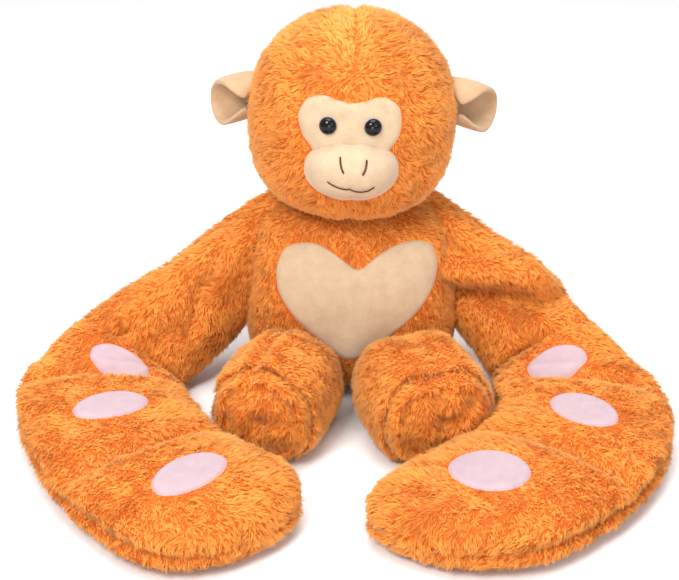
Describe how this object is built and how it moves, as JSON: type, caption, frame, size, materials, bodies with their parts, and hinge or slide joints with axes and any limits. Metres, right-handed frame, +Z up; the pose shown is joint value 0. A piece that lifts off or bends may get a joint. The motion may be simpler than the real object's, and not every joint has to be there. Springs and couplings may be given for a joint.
{
  "type": "stuffed monkey",
  "caption": "Seated plush monkey with a round furry head, cream face and heart-shaped belly, and long flat quilted arms with pink oval pads that curl round its feet.",
  "frame": {"origin": "middle of the toy's bounding box, on the surface that it sits on", "axes": "+Z up, the toy faces -Y, its own left is +X, and the arms spread along X"},
  "size_m": [0.5596, 0.4328, 0.3469],
  "materials": {
    "plush_fur": "long clumped plush pile, warm orange, matte",
    "short_plush": "short velvety plush, cream, matte",
    "pad_plush": "short velvety plush, pale pink, matte",
    "fibre_fill": "loose polyester fibre fill, white",
    "thread": "stranded embroidery thread, dark brown",
    "eye_gloss": "polished black moulding",
    "washer_nylon": "natural white nylon moulding"
  },
  "bodies": {
    "torso": {"torso_back_skin": "plush_fur", "torso_front_skin_left": "plush_fur", "torso_front_skin_right": "plush_fur", "heart_panel": "short_plush", "torso_stuffing": "fibre_fill"},
    "neck": {"neck_stuffing": "fibre_fill"},
    "head": {"head_skin_left": "plush_fur", "head_skin_right": "plush_fur", "face_mask": "short_plush", "eye_right": "eye_gloss", "eye_washer_right": "washer_nylon", "eye_left": "eye_gloss", "eye_washer_left": "washer_nylon", "head_stuffing": "fibre_fill", "muzzle_skin_left": "short_plush", "muzzle_skin_right": "short_plush", "muzzle_stuffing": "fibre_fill", "nostril_stitch_left": "thread", "nostril_stitch_right": "thread", "smile_stitch": "thread"},
    "ear_left": {"ear_back_left": "short_plush", "ear_front_left": "short_plush"},
    "upper_arm_left": {"upper_arm_left_front_skin": "plush_fur", "upper_arm_left_back_skin": "plush_fur", "upper_arm_left_stuffing": "fibre_fill"},
    "forearm_left": {"forearm_pad_left": "pad_plush", "forearm_left_top_skin": "plush_fur", "forearm_left_bottom_skin": "plush_fur", "forearm_left_stuffing": "fibre_fill"},
    "wrist_left": {"wrist_pad_left": "pad_plush", "wrist_left_top_skin": "plush_fur", "wrist_left_bottom_skin": "plush_fur", "wrist_left_stuffing": "fibre_fill"},
    "hand_left": {"hand_pad_left": "pad_plush", "hand_left_top_skin": "plush_fur", "hand_left_bottom_skin": "plush_fur", "hand_left_stuffing": "fibre_fill"},
    "leg_left": {"leg_skin_left": "plush_fur", "sole_panel_left": "plush_fur", "leg_stuffing_left": "fibre_fill"},
    "ear_right": {"ear_back_right": "short_plush", "ear_front_right": "short_plush"},
    "upper_arm_right": {"upper_arm_right_front_skin": "plush_fur", "upper_arm_right_back_skin": "plush_fur", "upper_arm_right_stuffing": "fibre_fill"},
    "forearm_right": {"forearm_pad_right": "pad_plush", "forearm_right_top_skin": "plush_fur", "forearm_right_bottom_skin": "plush_fur", "forearm_right_stuffing": "fibre_fill"},
    "wrist_right": {"wrist_pad_right": "pad_plush", "wrist_right_top_skin": "plush_fur", "wrist_right_bottom_skin": "plush_fur", "wrist_right_stuffing": "fibre_fill"},
    "hand_right": {"hand_pad_right": "pad_plush", "hand_right_top_skin": "plush_fur", "hand_right_bottom_skin": "plush_fur", "hand_right_stuffing": "fibre_fill"},
    "leg_right": {"leg_skin_right": "plush_fur", "sole_panel_right": "plush_fur", "leg_stuffing_right": "fibre_fill"}
  },
  "joints": [
    {"name": "neck_turn", "type": "hinge", "parent": "torso", "child": "neck", "pos_m": [0.0065, 0.13741, 0.15], "axis": [0, 0, 1], "range_deg": [-30, 30]},
    {"name": "head_nod", "type": "hinge", "parent": "neck", "child": "head", "pos_m": [0.0065, 0.13741, 0.168], "axis": [1, 0, 0], "range_deg": [-12, 12]},
    {"name": "ear_bend_left", "type": "hinge", "parent": "head", "child": "ear_left", "pos_m": [0.09943, 0.13541, 0.26529], "axis": [0.0297, 0, 0.9996], "range_deg": [-25, 12], "stiffness_Nm_per_rad": 0.01},
    {"name": "ear_bend_right", "type": "hinge", "parent": "head", "child": "ear_right", "pos_m": [-0.08049, 0.13541, 0.27063], "axis": [-0.0297, 0, -0.9996], "range_deg": [-25, 12], "stiffness_Nm_per_rad": 0.01},
    {"name": "shoulder_swing_left", "type": "hinge", "parent": "torso", "child": "upper_arm_left", "pos_m": [0.1092, 0.14141, 0.102], "axis": [-0.0995, 0, 0.995], "range_deg": [-3, 45]},
    {"name": "elbow_fold_left", "type": "hinge", "parent": "upper_arm_left", "child": "forearm_left", "pos_m": [0.1842, 0.10141, 0.0375], "axis": [-0.8043, -0.0993, -0.5859], "range_deg": [-45, 8]},
    {"name": "wrist_fold_left", "type": "hinge", "parent": "forearm_left", "child": "wrist_left", "pos_m": [0.2112, 0.02241, 0.024], "axis": [-0.9748, 0.2211, -0.0301], "range_deg": [-40, 50]},
    {"name": "knuckle_fold_left", "type": "hinge", "parent": "wrist_left", "child": "hand_left", "pos_m": [0.1702, -0.09059, 0.022], "axis": [-0.8, 0.6, 0], "range_deg": [-45, 60]},
    {"name": "hip_lift_left", "type": "hinge", "parent": "torso", "child": "leg_left", "pos_m": [0.0462, 0.06341, 0.0335], "axis": [-0.9563, -0.2924, 0], "range_deg": [-40, 35]},
    {"name": "shoulder_swing_right", "type": "hinge", "parent": "torso", "child": "upper_arm_right", "pos_m": [-0.0928, 0.14141, 0.102], "axis": [-0.0995, 0, -0.995], "range_deg": [-3, 45]},
    {"name": "elbow_fold_right", "type": "hinge", "parent": "upper_arm_right", "child": "forearm_right", "pos_m": [-0.1938, 0.09241, 0.0375], "axis": [-0.8083, 0.1996, 0.5539], "range_deg": [-45, 8]},
    {"name": "wrist_fold_right", "type": "hinge", "parent": "forearm_right", "child": "wrist_right", "pos_m": [-0.2138, 0.03141, 0.024], "axis": [-0.9975, -0.0499, 0.0499], "range_deg": [-40, 50]},
    {"name": "knuckle_fold_right", "type": "hinge", "parent": "wrist_right", "child": "hand_right", "pos_m": [-0.1598, -0.09059, 0.022], "axis": [-0.829, -0.5593, 0], "range_deg": [-45, 60]},
    {"name": "hip_lift_right", "type": "hinge", "parent": "torso", "child": "leg_right", "pos_m": [-0.0328, 0.06341, 0.0335], "axis": [-0.9563, 0.2924, 0], "range_deg": [-40, 35]}
  ]
}
